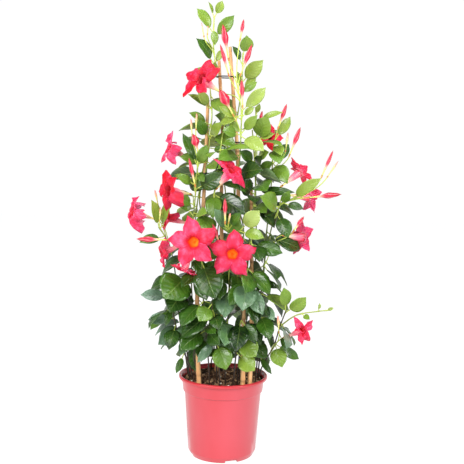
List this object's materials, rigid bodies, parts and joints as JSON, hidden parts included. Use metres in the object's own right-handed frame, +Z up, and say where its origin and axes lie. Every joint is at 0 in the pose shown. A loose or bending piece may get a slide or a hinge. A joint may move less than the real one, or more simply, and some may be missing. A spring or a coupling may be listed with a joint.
{
  "type": "potted mandevilla",
  "caption": "Red trumpet-flowered climbing vine with opposite oval leaves, twined up bamboo canes that stand in a round tapered nursery pot of potting mix.",
  "frame": {"origin": "centre of the pot's underside, on the surface it stands on", "axes": "+Z up along the pot's axis, +X to the right and +Y away from a viewer who faces the plant's front"},
  "size_m": [0.3989, 0.2609, 0.852],
  "materials": {
    "pot": "satin coral-red plastic",
    "soil": "loose dark peat and bark",
    "cane": "natural bamboo",
    "tie": "black",
    "leaf": "semi-gloss leaf",
    "petal": "satin petal"
  },
  "bodies": {
    "root": {"pot": "pot", "soil": "soil", "cane_left": "cane", "cane_right": "cane", "cane_outer_right": "cane", "cane_back": "cane", "tie_ring_top": "tie", "tie_ring_middle": "tie", "clip_left": "tie", "vine_01": "leaf", "vine_02": "leaf", "vine_03": "leaf", "vine_04": "leaf", "vine_05": "leaf", "vine_06": "leaf", "vine_07": "leaf", "vine_08": "leaf", "vine_09": "leaf", "vine_10": "leaf", "vine_11": "leaf", "vine_12": "leaf", "vine_13": "leaf", "vine_14": "leaf", "vine_15": "leaf", "vine_16": "leaf", "vine_17": "leaf", "vine_18": "leaf", "bloom_01": "petal", "bloom_02": "petal", "bloom_03": "petal", "bloom_04": "petal", "bloom_05": "petal", "bloom_06": "petal", "bloom_07": "petal", "bloom_08": "petal", "bloom_09": "petal", "bloom_10": "petal", "bloom_11": "petal", "bloom_12": "petal", "bloom_13": "petal", "bloom_14": "petal", "bloom_15": "petal"}
  },
  "joints": []
}
